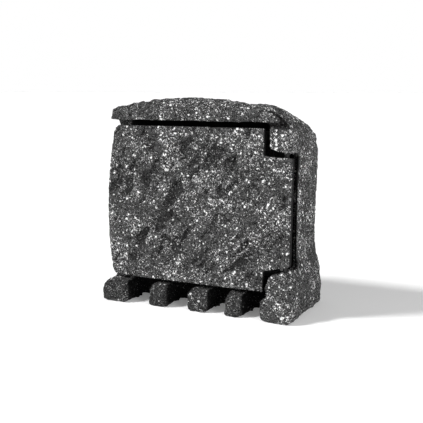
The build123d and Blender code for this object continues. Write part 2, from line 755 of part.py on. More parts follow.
def earth_clips(x, z):
    """Top and bottom earth springs in the recess of one socket."""
    y1 = FACE_Y + RECESS_DEPTH
    clips = Part()
    for side in (-1, 1):
        z0, z1 = sorted((z + side * EARTH_CLIP_OFFSET, z + side * (EARTH_CLIP_OFFSET + EARTH_CLIP_THICK)))
        strip = block(x - EARTH_CLIP_WIDTH / 2, x + EARTH_CLIP_WIDTH / 2, FACE_Y + 2, y1, z0, z1)
        tip = rod_x(EARTH_CLIP_THICK, x - EARTH_CLIP_WIDTH / 2, x + EARTH_CLIP_WIDTH / 2, FACE_Y + 4, z0)
        clips += strip + (tip if side > 0 else Pos(0, 0, EARTH_CLIP_THICK) * tip)
    return clips


def socket_lid(x, z):
    """Splash lid with its barrels and a grip bead."""
    axis_z = z + LID_AXIS_UP
    inner_y = FACE_Y - LID_SEAL_THICK - 0.3
    outer_y = inner_y - LID_THICK
    plate = block(x - LID_HALF_WIDTH, x + LID_HALF_WIDTH, outer_y, inner_y, z - LID_BOTTOM, axis_z - 4)
    corners = plate.edges().filter_by(Axis.Y).group_by(Axis.Z)[0]
    lid = fillet(corners, 9.0)
    barrel_half = EAR_INNER_X - 0.4
    neck = block(x - barrel_half, x + barrel_half, outer_y, inner_y, axis_z - 5, axis_z)
    lid += neck + rod_x(LID_BARREL_R, x - barrel_half, x + barrel_half, LID_AXIS_Y, axis_z)
    lid += rod_x(1.6, x - 11, x + 11, outer_y, z - LID_BOTTOM + 5)
    spring_room = SPRING_HALF_LENGTH + 0.3
    lid -= block(x - spring_room, x + spring_room, outer_y - 3, inner_y + 3, axis_z - 4, axis_z + 4)
    return lid - rod_x(LID_PIN_R + PIN_RUNNING_GAP, x - 30, x + 30, LID_AXIS_Y, axis_z)


def lid_seal(x, z):
    """Round seal on the inside of a lid."""
    y0 = FACE_Y - LID_SEAL_THICK - 0.3
    return ring_y(LID_SEAL_OUT_R, LID_SEAL_IN_R, x, y0, y0 + LID_SEAL_THICK, z)


def lid_pin(x, z):
    """Lid pin pressed into the ears."""
    return rod_x(LID_PIN_R, x - EAR_OUTER_X, x + EAR_OUTER_X, LID_AXIS_Y, z + LID_AXIS_UP)


def lid_spring(x, z):
    """Envelope of the torsion spring round the lid pin."""
    axis_z = z + LID_AXIS_UP
    half = SPRING_HALF_LENGTH
    sleeve = rod_x(SPRING_OUT_R, x - half, x + half, LID_AXIS_Y, axis_z)
    return sleeve - rod_x(SPRING_IN_R, x - half, x + half, LID_AXIS_Y, axis_z)


def rear_cover():
    """Rear cover with the well for the gland and a pad for the terminal block."""
    y1 = COVER_OUT_Y
    y0 = y1 - COVER_THICK
    half = COVER_HALF_WIDTH - COVER_GAP
    x = PANEL_MID_X
    cover = block(-half, half, y0, y1, COVER_BOTTOM_Z + COVER_GAP, COVER_TOP_Z - COVER_GAP)
    cover += centred_block(x, WELL_HALF + WELL_WALL, WELL_FRONT_Y, y1, GLAND_Z, WELL_HALF + WELL_WALL)
    cover -= centred_block(x, WELL_HALF, WELL_FRONT_Y + WELL_WALL, y1 + 1, GLAND_Z, WELL_HALF)
    cover -= rod_y(GLAND_THREAD_R, x, WELL_FRONT_Y - 1, WELL_FRONT_Y + WELL_WALL + 1, GLAND_Z)
    cover += centred_block(x, TERMINAL_HALF_WIDTH - 2, TERMINAL_REAR_Y, y0, SOCKET_MID_Z, TERMINAL_HALF_HEIGHT - 2)
    return cover - rear_cover_screws()


def rear_cover_seal():
    """Flat gasket under the rear cover."""
    y1 = COVER_OUT_Y - COVER_THICK
    half = COVER_HALF_WIDTH - COVER_GAP
    gasket = block(-half, half, y1 - SEAL_THICK, y1, COVER_BOTTOM_Z + COVER_GAP, COVER_TOP_Z - COVER_GAP)
    gasket -= block(-COVER_HALF_WIDTH + COVER_LAP, COVER_HALF_WIDTH - COVER_LAP, 0, REAR_Y, *cover_window_z())
    return gasket - rear_cover_screws()


def gland_body():
    """Gland: threaded neck with a hexagonal collar."""
    x = PANEL_MID_X
    collar_y = WELL_FRONT_Y + WELL_WALL
    body = rod_y(GLAND_THREAD_R, x, GLAND_INNER_Y, GLAND_NECK_END_Y, GLAND_Z)
    body += hex_y(GLAND_HEX, x, collar_y, collar_y + GLAND_COLLAR_THICK, GLAND_Z)
    return body - rod_y(GLAND_BORE_R, x, 0, REAR_Y, GLAND_Z)


def gland_locknut():
    """Nut that clamps the gland in the wall of the well."""
    nut = hex_y(GLAND_HEX, PANEL_MID_X, WELL_FRONT_Y - 4, WELL_FRONT_Y, GLAND_Z)
    return nut - rod_y(GLAND_THREAD_R, PANEL_MID_X, 0, REAR_Y, GLAND_Z)


def gland_nut():
    """Cap nut that squeezes the seal."""
    x = PANEL_MID_X
    y0 = WELL_FRONT_Y + WELL_WALL + GLAND_COLLAR_THICK + 0.5
    nut = hex_y(GLAND_HEX, x, y0, GLAND_NUT_END_Y, GLAND_Z)
    nut -= rod_y(GLAND_THREAD_R, x, 0, GLAND_NECK_END_Y + 1, GLAND_Z)
    return nut - rod_y(GLAND_MOUTH_R, x, 0, REAR_Y, GLAND_Z)


def gland_seal():
    """Rubber bush that grips the supply cord."""
    return ring_y(GLAND_BORE_R, CABLE_R, PANEL_MID_X, GLAND_NECK_END_Y - 10, GLAND_NECK_END_Y + 1, GLAND_Z)


def terminal_block():
    """Three-way terminal block on the rear cover."""
    x = PANEL_MID_X
    base = centred_block(x, TERMINAL_HALF_WIDTH, TERMINAL_FRONT_Y, TERMINAL_REAR_Y, SOCKET_MID_Z, TERMINAL_HALF_HEIGHT)
    for step in (-0.5, 0.5):
        groove_x = x + step * TERMINAL_HALF_WIDTH / 1.5
        base -= centred_block(groove_x, 0.8, TERMINAL_FRONT_Y - 1, TERMINAL_FRONT_Y + 3, SOCKET_MID_Z, 20)
    return base - terminal_screws()


def terminal_screws():
    """Two clamp screws for each of the three ways."""
    screws = Part()
    for way in (-1, 0, 1):
        for row in (-4.5, 4.5):
            x = PANEL_MID_X + way * TERMINAL_HALF_WIDTH * 2 / 3
            screws += rod_y(TERMINAL_SCREW_R, x, TERMINAL_FRONT_Y + 0.5, TERMINAL_FRONT_Y + 5, SOCKET_MID_Z + row)
    return screws


def wire(name, side, row_z):
    """One insulated wire from the terminal block to a socket's contact block."""
    y = WIRE_LEVELS_Y[name]
    start_z = SOCKET_MID_Z + WIRE_START_UP[name]
    x = PANEL_MID_X
    end_x = x + side * (SOCKET_OFFSET_X - CONTACT_BLOCK_HALF_WIDTH)
    lane_x = x + side * WIRE_LANE_X
    start = (x + side * TERMINAL_HALF_WIDTH, y, start_z)
    end_z = row_z + WIRE_START_UP[name] / 2
    route = FilletPolyline(start, (lane_x, y, start_z), (lane_x, y, end_z), (end_x, y, end_z), radius=WIRE_BEND_R)
    section = Plane(origin=start, z_dir=(side, 0, 0)) * Circle(WIRE_R)
    return sweep(section, path=route)


def wires(name):
    """The four wires of one conductor, one to each socket."""
    group = Part()
    for side in (-1, 1):
        for row_z in SOCKET_ROWS_Z:
            group += wire(name, side, row_z)
    return group


def all_nodes():
    """Every named piece of the box."""
    nodes = {
        "housing_shell": housing_shell(),
        "door_shell": door_shell(),
        "door_keeper": door_keeper(),
        "keeper_screws": keeper_screws(),
        "catch_magnet": catch_magnet(),
        "hinge_pin_upper": hinge_pin_upper(),
        "hinge_pin_lower": hinge_pin_lower(),
        "socket_panel": socket_panel(),
        "socket_panel_seal": socket_panel_seal(),
        "socket_panel_screws": socket_panel_screws(),
        "rear_cover": rear_cover(),
        "rear_cover_seal": rear_cover_seal(),
        "rear_cover_screws": rear_cover_screws(),
        "gland_body": gland_body(),
        "gland_locknut": gland_locknut(),
        "gland_nut": gland_nut(),
        "gland_seal": gland_seal(),
        "terminal_block": terminal_block(),
        "terminal_screws": terminal_screws(),
    }
    makers = (socket_body, contact_clips, earth_clips, socket_lid, lid_seal, lid_pin, lid_spring)
    for number, (x, z) in enumerate(socket_centres(), start=1):
        for make in makers:
            nodes[f"{make.__name__}_{number}"] = make(x, z)
    for name in WIRE_LEVELS_Y:
        nodes[name] = wires(name)
    return nodes


os.makedirs("parts", exist_ok=True)
for node_name, shape in all_nodes().items():
    export_step(shape, f"parts/{node_name}.step")
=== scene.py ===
import itertools
import json
import math

import bmesh
import bpy
import numpy as np
from mathutils import Matrix, Vector


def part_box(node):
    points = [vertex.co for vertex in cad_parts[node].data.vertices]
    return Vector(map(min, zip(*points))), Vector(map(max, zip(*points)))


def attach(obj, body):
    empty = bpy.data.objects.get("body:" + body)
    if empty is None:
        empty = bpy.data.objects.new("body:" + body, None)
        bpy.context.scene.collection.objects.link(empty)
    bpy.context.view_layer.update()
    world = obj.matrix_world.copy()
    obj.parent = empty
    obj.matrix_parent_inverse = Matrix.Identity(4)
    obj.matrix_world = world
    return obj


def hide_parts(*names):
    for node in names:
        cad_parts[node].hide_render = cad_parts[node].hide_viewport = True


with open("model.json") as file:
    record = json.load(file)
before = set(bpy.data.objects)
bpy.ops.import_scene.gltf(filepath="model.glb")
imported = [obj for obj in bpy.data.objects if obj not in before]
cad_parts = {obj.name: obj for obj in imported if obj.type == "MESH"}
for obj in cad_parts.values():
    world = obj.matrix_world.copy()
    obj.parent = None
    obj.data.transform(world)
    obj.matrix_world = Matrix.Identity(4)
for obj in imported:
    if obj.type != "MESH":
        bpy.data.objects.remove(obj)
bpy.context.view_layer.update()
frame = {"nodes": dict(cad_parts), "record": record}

MM = 0.001
NODES = frame["nodes"]
BODY_OF = {node: body for body, members in frame["record"]["behaviour"]["bodies"].items() for node in members}
SLOT_OF = {part["node"]: part["material_slot"] for part in frame["record"]["subparts"]}


# ---------------------------------------------------------------- camera, light and floor

CAMERA_AT = Vector((0.40537, -0.79730, 0.24101))
CAMERA_AZIMUTH = math.radians(27.1)
CAMERA_ELEVATION = math.radians(8.76)
CAMERA_LENS = 68.1
SENSOR = 36.0


def add_camera():
    """Camera at the photograph's viewing angle."""
    data = bpy.data.cameras.new("camera")
    data.lens = CAMERA_LENS
    data.sensor_width = SENSOR
    data.clip_start = 0.01
    camera = bpy.data.objects.new("camera", data)
    bpy.context.scene.collection.objects.link(camera)
    back = Vector((
        math.sin(CAMERA_AZIMUTH) * math.cos(CAMERA_ELEVATION),
        -math.cos(CAMERA_AZIMUTH) * math.cos(CAMERA_ELEVATION),
        math.sin(CAMERA_ELEVATION),
    ))
    camera.location = CAMERA_AT
    camera.rotation_euler = back.to_track_quat("Z", "Y").to_euler()
    bpy.context.scene.camera = camera


WORLD_OVERHEAD = 0.22
HORIZON_FADE = (0.12, 0.3)
OBJECT_MIDDLE = (0.0, 0.0, 0.11)
KEY_TOWARDS = (-0.85, -0.60, 0.95)
KEY_POWER = 3.3
KEY_SPREAD = 12.0
FILL_PLACE = (1.25, -0.75, 0.55)
FILL_SIZE = 0.7
FILL_POWER = 12.0
FLOOR_HALF = 40.0
FLOOR_DROP = 0.0002
FLOOR_GLOW = 0.16


def add_area_light(name, place, target, size, power):
    """Square soft box aimed at a target."""
    data = bpy.data.lights.new(name, "AREA")
    data.size = size
    data.energy = power
    light = bpy.data.objects.new(name, data)
    light.location = place
    light.rotation_euler = (Vector(place) - Vector(target)).to_track_quat("Z", "Y").to_euler()
    bpy.context.scene.collection.objects.link(light)


def add_sun(name, towards, power, spread):
    """Broad, even light from far away."""
    data = bpy.data.lights.new(name, "SUN")
    data.energy = power
    data.angle = math.radians(spread)
    light = bpy.data.objects.new(name, data)
    light.rotation_euler = Vector(towards).to_track_quat("Z", "Y").to_euler()
    bpy.context.scene.collection.objects.link(light)


def add_world():
    """White near the horizon, dimmer overhead."""
    world = bpy.data.worlds.new("studio")
    bpy.context.scene.world = world
    world.use_nodes = True
    tree = world.node_tree
    background = tree.nodes["Background"]
    background.inputs["Color"].default_value = (1.0, 1.0, 1.0, 1.0)
    height = tree.nodes.new("ShaderNodeSeparateXYZ")
    tree.links.new(tree.nodes.new("ShaderNodeTexCoord").outputs["Generated"], height.inputs[0])
    fade = tree.nodes.new("ShaderNodeMapRange")
    tree.links.new(height.outputs["Z"], fade.inputs["Value"])
    low, high = HORIZON_FADE
    for name, number in (("From Min", low), ("From Max", high), ("To Min", 1.0), ("To Max", WORLD_OVERHEAD)):
        fade.inputs[name].default_value = number
    tree.links.new(fade.outputs[0], background.inputs["Strength"])


def add_floor():
    """Pale floor that reaches the horizon."""
    mesh = bpy.data.meshes.new("floor")
    half = FLOOR_HALF
    corners = [(-half, -half, 0.0), (half, -half, 0.0), (half, half, 0.0), (-half, half, 0.0)]
    mesh.from_pydata(corners, [], [(0, 1, 2, 3)])
    floor = bpy.data.objects.new("floor", mesh)
    floor.location.z = -FLOOR_DROP
    bpy.context.scene.collection.objects.link(floor)
    floor.data.materials.append(floor_material())


def add_studio():
    """Soft light from the upper left, a weaker soft box on the right, white surroundings."""
    add_sun("key", KEY_TOWARDS, KEY_POWER, KEY_SPREAD)
    add_area_light("fill", FILL_PLACE, OBJECT_MIDDLE, FILL_SIZE, FILL_POWER)
    add_world()
    add_floor()
    bpy.context.scene.view_settings.view_transform = "Standard"


# ---------------------------------------------------------------- node helpers

class Graph:
    """Small helper that adds and links shader nodes."""

    def __init__(self, name):
        self.material = bpy.data.materials.new(name)
        self.material.use_nodes = True
        self.tree = self.material.node_tree
        self.shader = self.tree.nodes["Principled BSDF"]

    def put(self, socket, value):
        """Set a socket to a number or colour, or link another node's output to it."""
        if isinstance(value, bpy.types.NodeSocket):
            self.tree.links.new(value, socket)
        else:
            socket.default_value = value

    def math(self, operation, first, second=0.0, clamp=False):
        node = self.tree.nodes.new("ShaderNodeMath")
        node.operation = operation
        node.use_clamp = clamp
        self.put(node.inputs[0], first)
        self.put(node.inputs[1], second)
        return node.outputs[0]

    def add(self, kind, **inputs):
        node = self.tree.nodes.new(kind)
        for name, value in inputs.items():
            self.put(node.inputs[name.replace("_", " ")], value)
        return node

    def coordinates(self, shift=(0.0, 0.0, 0.0), stretch=(1.0, 1.0, 1.0), turn=(0.0, 0.0, 0.0)):
        """Object coordinates in millimetres."""
        source = self.tree.nodes.new("ShaderNodeTexCoord").outputs["Object"]
        mapping = self.tree.nodes.new("ShaderNodeMapping")
        self.put(mapping.inputs["Vector"], source)
        mapping.inputs["Location"].default_value = shift
        mapping.inputs["Rotation"].default_value = turn
        mapping.inputs["Scale"].default_value = [1000.0 * s for s in stretch]
        return mapping.outputs[0]

    def noise(self, vector, scale, detail=3.0, rough=0.55):
        node = self.add("ShaderNodeTexNoise", Vector=vector, Scale=scale, Detail=detail, Roughness=rough)
        return node.outputs["Fac"]

    def ramp(self, value, low, high, out_low=0.0, out_high=1.0):
        """Clamped smooth step from one level to another."""
        node = self.tree.nodes.new("ShaderNodeMapRange")
        node.interpolation_type = "SMOOTHSTEP"
        self.put(node.inputs["Value"], value)
        for name, number in (("From Min", low), ("From Max", high), ("To Min", out_low), ("To Max", out_high)):
            node.inputs[name].default_value = number
        return node.outputs[0]

    def mix(self, amount, first, second):
        node = self.tree.nodes.new("ShaderNodeMix")
        node.data_type = "RGBA"
        self.put(node.inputs[0], amount)
        self.put(node.inputs[6], first)
        self.put(node.inputs[7], second)
        return node.outputs[2]

    def bump(self, height, strength, distance, normal=None):
        node = self.add("ShaderNodeBump", Height=height, Strength=strength, Distance=distance)
        if normal is not None:
            self.put(node.inputs["Normal"], normal)
        return node.outputs[0]

    def grains(self, vector, scale, share, cut=0.05):
        """Angular grains: a share of a Voronoi lattice's cells, each cut back from its neighbours."""
        cells = self.add("ShaderNodeTexVoronoi", Vector=vector, Scale=scale)
        pick = self.add("ShaderNodeSeparateColor", Color=cells.outputs["Color"])
        edges = self.add("ShaderNodeTexVoronoi", Vector=vector, Scale=scale)
        edges.feature = "DISTANCE_TO_EDGE"
        shape = self.ramp(edges.outputs["Distance"], cut, cut + 0.07)
        chosen = self.math("GREATER_THAN", self.math("ADD", pick.outputs["Red"], share), 1.0)
        return self.math("MULTIPLY", shape, chosen), pick.outputs["Blue"]

    def warp(self, vector, scale, amount):
        """Coordinates pushed about by a noise, by up to about half the amount."""
        wobble = self.add("ShaderNodeTexNoise", Vector=vector, Scale=scale, Detail=2.0)
        middle = self.vector("SUBTRACT", wobble.outputs["Color"], (0.5, 0.5, 0.5))
        scaled = self.vector("MULTIPLY", middle, (amount, amount, amount))
        return self.vector("ADD", vector, scaled)

    def vector(self, operation, first, second):
        node = self.tree.nodes.new("ShaderNodeVectorMath")
        node.operation = operation
        self.put(node.inputs[0], first)
        self.put(node.inputs[1], second)
        return node.outputs[0]

    def shifted(self, vector, amount):
        """The same coordinates moved, so that each layer has its own pattern."""
        return self.vector("ADD", vector, (amount, amount * 0.7, -amount * 1.3))


def grey(level, tint=(1.0, 1.0, 1.0)):
    return tuple(level * part for part in tint) + (1.0,)


def floor_material():
    """Pale paper sweep."""
    graph = Graph("floor")
    tone = graph.noise(graph.coordinates(), 0.004, 2.0)
    colour = graph.mix(tone, grey(0.92), grey(0.96))
    graph.put(graph.shader.inputs["Base Color"], colour)
    graph.shader.inputs["Roughness"].default_value = 0.9
    graph.shader.inputs["Emission Color"].default_value = grey(1.0)
    graph.shader.inputs["Emission Strength"].default_value = FLOOR_GLOW
    return graph.material


# Granite ground: darkest and lightest tone of the mottle, and the tone of the calmer patches
GROUND_DARK = 0.003
GROUND_LIGHT = 0.105
GROUND_PATCH = 0.06
# Grains of the granite: shift of the pattern, cells in a millimetre, share of the cells, darkest tone,
# lightest tone
BLACK_GRAINS = (9.0, 0.85, 0.24, 0.003, 0.003)
GREY_GRAINS = (31.0, 0.85, 0.11, 0.14, 0.34)
SMALL_WHITE_GRAINS = (77.0, 1.1, 0.080, 0.6, 1.0)
LARGE_WHITE_GRAINS = (143.0, 0.44, 0.058, 0.75, 1.0)
STROKE_TONE = 0.75
# Darkest factor the painted shade multiplies the granite's colour by
DEEPEST_SHADE = 0.05


def grain_layer(graph, vector, colour, layer, density=None):
    """Lay one kind of grain over a colour; returns the new colour and where the grains are."""
    shift, scale, share, dark, light = layer
    chosen = share if density is None else graph.math("MULTIPLY", density, share)
    place, tone = graph.grains(graph.shifted(vector, shift), scale, chosen)
    return graph.mix(place, colour, graph.mix(tone, grey(dark), grey(light))), place


def strokes(graph, plain, vector):
    """Short pale slivers among the grains."""
    lines = graph.noise(graph.shifted(vector, 12.0), 0.30, 2.0)
    band = graph.math("ABSOLUTE", graph.math("SUBTRACT", lines, 0.5))
    gate = graph.ramp(graph.noise(graph.shifted(plain, 51.0), 0.34, 2.0), 0.56, 0.60)
    return graph.math("MULTIPLY", graph.ramp(band, 0.016, 0.007), gate)


def granite_material():
    """Cast imitation granite: dark mottled ground with white, grey and black grains. Painted shade darkens it
    and thins its grains in the hollows, the cable channels, on the feet's fronts and in the crease under the
    brow.
    """
    graph = Graph("granite")
    plain = graph.coordinates()
    vector = graph.warp(plain, 0.45, 2.4)
    # Painted shade: a point attribute on the rock meshes, from 0 where nothing is painted up to 2 in the
    # darkest places
    painted_shade = graph.add("ShaderNodeAttribute")
    painted_shade.attribute_name = "painted_shade"
    depth = painted_shade.outputs["Fac"]

    patches = graph.noise(plain, 0.045, 3.0)
    mottle = graph.noise(vector, 0.75, 5.0, 0.78)
    colour = graph.mix(graph.ramp(mottle, 0.36, 0.62), grey(GROUND_DARK), grey(GROUND_LIGHT))
    colour = graph.mix(graph.ramp(patches, 0.4, 0.64, 0.0, 0.35), colour, grey(GROUND_PATCH))
    density = graph.ramp(patches, 0.38, 0.62, 0.2, 1.7)
    # Painted shade also thins out the grains where it lies
    density = graph.math("MULTIPLY", density, graph.ramp(depth, 0.0, 1.0, 1.0, 0.35))
    colour, _ = grain_layer(graph, vector, colour, BLACK_GRAINS)
    colour, _ = grain_layer(graph, vector, colour, GREY_GRAINS, density)
    colour, small = grain_layer(graph, vector, colour, SMALL_WHITE_GRAINS, density)
    colour, large = grain_layer(graph, vector, colour, LARGE_WHITE_GRAINS, density)
    sliver = graph.math("MULTIPLY", strokes(graph, plain, vector), 0.85)
    colour = graph.mix(sliver, colour, grey(STROKE_TONE))
    # Painted shade: the colour is multiplied down towards DEEPEST_SHADE as the attribute rises to 2
    dimmed = graph.tree.nodes.new("ShaderNodeMix")
    dimmed.data_type = "RGBA"
    dimmed.blend_type = "MULTIPLY"
    dimmed.inputs[0].default_value = 1.0
    graph.put(dimmed.inputs[6], colour)
    graph.put(dimmed.inputs[7], graph.ramp(depth, 0.0, 2.0, 1.0, DEEPEST_SHADE))
    graph.put(graph.shader.inputs["Base Color"], dimmed.outputs[2])

    white = graph.math("MAXIMUM", large, small)
    graph.put(graph.shader.inputs["Roughness"], graph.ramp(white, 0.0, 1.0, 0.85, 0.5))
    graph.put(graph.shader.inputs["Specular IOR Level"], graph.ramp(white, 0.0, 1.0, 0.04, 0.35))
    fine = graph.noise(plain, 1.1, 6.0, 0.7)
    coarse = graph.noise(vector, 0.35, 4.0, 0.6)
    height = graph.math("ADD", graph.math("MULTIPLY", fine, 0.45), graph.math("MULTIPLY", coarse, 0.9))
    height = graph.math("ADD", height, graph.math("MULTIPLY", white, 0.15))
    pits = graph.add("ShaderNodeTexVoronoi", Vector=vector, Scale=0.3).outputs["Distance"]
    height = graph.math("ADD", height, graph.math("MULTIPLY", pits, 0.7))
    graph.put(graph.shader.inputs["Normal"], graph.bump(height, 1.0, 0.0018))
    return graph.material


def moulded_material(name, low, high, roughness, grain=1.6, depth=0.00008, metallic=0.0, shine=0.5):
    """Moulded plastic, rubber or plain metal: slight tone changes, fine grain and uneven gloss."""
    graph = Graph(name)
    plain = graph.coordinates()
    tone = graph.noise(plain, 0.09, 4.0)
    graph.put(graph.shader.inputs["Base Color"], graph.mix(graph.ramp(tone, 0.3, 0.7), low, high))
    scuffs = graph.noise(plain, 0.25, 5.0, 0.65)
    uneven = graph.ramp(scuffs, 0.3, 0.75, roughness - 0.08, roughness + 0.1)
    graph.put(graph.shader.inputs["Roughness"], uneven)
    graph.shader.inputs["Metallic"].default_value = metallic
    graph.shader.inputs["Specular IOR Level"].default_value = shine
    fine = graph.noise(plain, grain, 3.0)
    graph.put(graph.shader.inputs["Normal"], graph.bump(fine, 0.6, depth))
    return graph.material


def turned_material(name, low, high, roughness, stretch):
    """Turned or drawn metal: fine lines along one direction."""
    graph = Graph(name)
    lines = graph.noise(graph.coordinates(stretch=stretch), 2.0, 3.0, 0.6)
    tone = graph.noise(graph.coordinates(), 0.15, 3.0)
    graph.put(graph.shader.inputs["Base Color"], graph.mix(graph.ramp(tone, 0.3, 0.7), low, high))
    graph.put(graph.shader.inputs["Roughness"], graph.ramp(lines, 0.3, 0.7, roughness - 0.07, roughness + 0.1))
    graph.shader.inputs["Metallic"].default_value = 1.0
    graph.put(graph.shader.inputs["Normal"], graph.bump(lines, 0.35, 0.00005))
    return graph.material


def striped_material(name, first, second):
    """Earth wire: yellow stripe on green."""
    graph = Graph(name)
    lines = graph.noise(graph.coordinates(stretch=(0.15, 1.0, 0.15)), 0.5, 0.0)
    graph.put(graph.shader.inputs["Base Color"], graph.mix(graph.ramp(lines, 0.47, 0.53), first, second))
    fine = graph.noise(graph.coordinates(), 1.8, 2.0)
    graph.put(graph.shader.inputs["Roughness"], graph.ramp(fine, 0.3, 0.7, 0.32, 0.45))
    return graph.material


WARM = (1.0, 0.98, 0.94)
BRASS_LOW = (0.62, 0.42, 0.16, 1.0)
BRASS_HIGH = (0.76, 0.55, 0.24, 1.0)
BROWN_LOW = (0.10, 0.035, 0.012, 1.0)
BROWN_HIGH = (0.14, 0.05, 0.02, 1.0)
BLUE_LOW = (0.02, 0.09, 0.36, 1.0)
BLUE_HIGH = (0.03, 0.12, 0.42, 1.0)
EARTH_GREEN = (0.03, 0.24, 0.04, 1.0)
EARTH_YELLOW = (0.72, 0.58, 0.03, 1.0)
ALONG_X = (0.1, 1.0, 1.0)
ALONG_Y = (1.0, 0.1, 1.0)
ALONG_Z = (1.0, 1.0, 0.1)

MATERIALS = {
    "granite": granite_material(),
    "black_plastic": moulded_material("black_plastic", grey(0.010), grey(0.020), 0.5, 2.2, 0.00012),
    "rubber": moulded_material("rubber", grey(0.018), grey(0.032), 0.75, 1.2, 0.00010),
    "brass": turned_material("brass", BRASS_LOW, BRASS_HIGH, 0.3, ALONG_Y),
    "tinned_spring": turned_material("tinned_spring", grey(0.50), grey(0.66, WARM), 0.32, ALONG_Y),
    "stainless": turned_material("stainless", grey(0.42), grey(0.60), 0.28, ALONG_X),
    "black_steel": turned_material("black_steel", grey(0.02), grey(0.04), 0.45, ALONG_Z),
    "magnet": moulded_material("magnet", grey(0.55), grey(0.68), 0.22, 0.9, 0.00003, metallic=1.0),
    "white_plastic": moulded_material("white_plastic", grey(0.62, (1.0, 0.98, 0.93)), grey(0.72, WARM), 0.38),
    "brown_sheath": moulded_material("brown_sheath", BROWN_LOW, BROWN_HIGH, 0.36),
    "blue_sheath": moulded_material("blue_sheath", BLUE_LOW, BLUE_HIGH, 0.36),
    "green_yellow_sheath": striped_material("green_yellow_sheath", EARTH_GREEN, EARTH_YELLOW),
}
# Near-black resin on the shells' inner faces and the door's gap-facing sides: partly the unpainted inside of
# the casting, partly painted shade that makes the gaps read black
RESIN_AND_PAINTED_SHADE = moulded_material("raw_resin_and_painted_shade", grey(0.005), grey(0.010), 0.8, 0.8, 0.00025, shine=0.1)


# ---------------------------------------------------------------- noise and outlines for the rock

FACET_STEP = 0.12
LUMP_TURN = np.array(Matrix.Rotation(0.7, 3, Vector((1.0, 0.6, 0.3))))


def random_at(cell, seed):
    """Repeatable random number from 0 to 1 for each row of whole numbers."""
    mixed = cell[:, 0] * 73856093 ^ cell[:, 1] * 19349663 ^ cell[:, 2] * 83492791 ^ seed * 6971
    mixed = (mixed ^ mixed >> 15) * 2246822519 & 0xFFFFFFFF
    mixed = (mixed ^ mixed >> 13) * 3266489917 & 0xFFFFFFFF
    return (mixed ^ mixed >> 16) % 65536 / 65535.0


def smoothstep(low, high, value):
    t = np.clip((value - low) / (high - low), 0.0, 1.0)
    return t * t * (3.0 - 2.0 * t)


def rolling(points, size, seed):
    """One octave of even noise from -1 to 1 on a grid of the given size."""
    scaled = points / size
    cell = np.floor(scaled).astype(np.int64)
    part = smoothstep(0.0, 1.0, scaled - cell)
    total = np.zeros(len(points))
    for corner in itertools.product((0, 1), repeat=3):
        weight = np.prod(np.where(corner, part, 1.0 - part), axis=1)
        total += weight * random_at(cell + corner, seed)
    return total * 2.0 - 1.0


def lumps(points, size, octaves, seed):
    """Rolling noise with finer octaves on top, from about -1 to 1."""
    total = np.zeros(len(points))
    turned = points @ LUMP_TURN
    for octave in range(octaves):
        shrink = 0.5 ** octave
        total += rolling(turned + 17.3 * octave, size * shrink, seed + octave) * shrink
    return total


def facets(points, size, seed):
    """Chipped faces: each Voronoi cell is a small tilted plane with a steep step to the next."""
    scaled = points / size
    base = np.floor(scaled).astype(np.int64)
    nearest = np.full(len(points), 9.0)
    second = np.full(len(points), 9.0)
    plane = np.zeros(len(points))
    next_plane = np.zeros(len(points))
    for step in itertools.product((-1, 0, 1), repeat=3):
        cell = base + step
        away = scaled - cell - np.column_stack([random_at(cell, seed + axis) for axis in range(3)])
        far = np.sqrt((away ** 2).sum(1))
        tilt = np.column_stack([random_at(cell, seed + 3 + axis) for axis in range(3)]) - 0.5
        here = (away * tilt).sum(1) * 2.0 + random_at(cell, seed + 6) - 0.5
        closer = far < nearest
        between = ~closer & (far < second)
        next_plane = np.where(closer, plane, np.where(between, here, next_plane))
        second = np.where(closer, nearest, np.where(between, far, second))
        plane = np.where(closer, here, plane)
        nearest = np.where(closer, far, nearest)
    own = 0.5 + 0.5 * smoothstep(0.0, FACET_STEP, second - nearest)
    return plane * own + next_plane * (1.0 - own)


def beyond(points, first, second, corners):
    """How far points lie outside a convex outline drawn anticlockwise in two of the axes, negative inside."""
    far = np.full(len(points), -1e9)
    for (a0, b0), (a1, b1) in zip(corners, corners[1:] + corners[:1]):
        length = math.hypot(a1 - a0, b1 - b0)
        side = ((points[:, first] - a0) * (b1 - b0) - (points[:, second] - b0) * (a1 - a0)) / length
        far = np.maximum(far, side)
    return far


# ---------------------------------------------------------------- rock meshes

